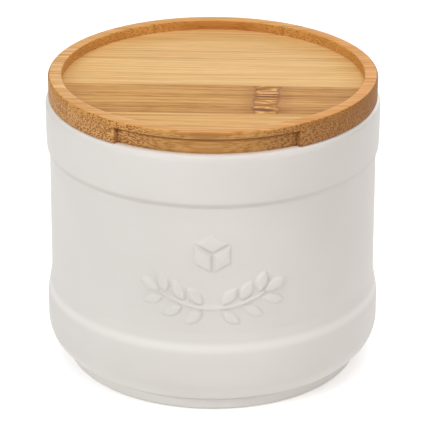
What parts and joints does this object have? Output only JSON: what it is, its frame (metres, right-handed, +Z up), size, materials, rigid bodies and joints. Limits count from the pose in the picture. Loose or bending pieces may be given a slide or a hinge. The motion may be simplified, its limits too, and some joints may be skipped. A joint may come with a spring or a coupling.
{
  "type": "salt box",
  "caption": "Round glazed ceramic salt box with a banded wall and a lift-off bamboo lid that has a stacking recess and a finger notch.",
  "frame": {"origin": "centre of the base, on the plane that the foot ring stands on", "axes": "+Z up along the jar's axis; the raised ornament and the lid's finger notch face -Y; +X is to the right seen from the front"},
  "size_m": [0.1114, 0.1114, 0.0993],
  "materials": {
    "glazed_ceramic": "satin white glaze, bare clay on the foot ring",
    "bamboo": "sanded and oiled bamboo",
    "silicone": "translucent matt silicone"
  },
  "bodies": {
    "jar": {"jar": "glazed_ceramic"},
    "lid": {"lid_strip_1": "bamboo", "lid_strip_2": "bamboo", "lid_strip_3": "bamboo", "lid_strip_4": "bamboo", "lid_strip_5": "bamboo", "plug_strip_1": "bamboo", "plug_strip_2": "bamboo", "plug_strip_3": "bamboo", "plug_strip_4": "bamboo", "seal_ring": "silicone"}
  },
  "joints": [
    {"name": "lid_lift", "type": "slide", "parent": "jar", "child": "lid", "axis": [0, 0, 1], "range_m": [0, 0.05]}
  ]
}
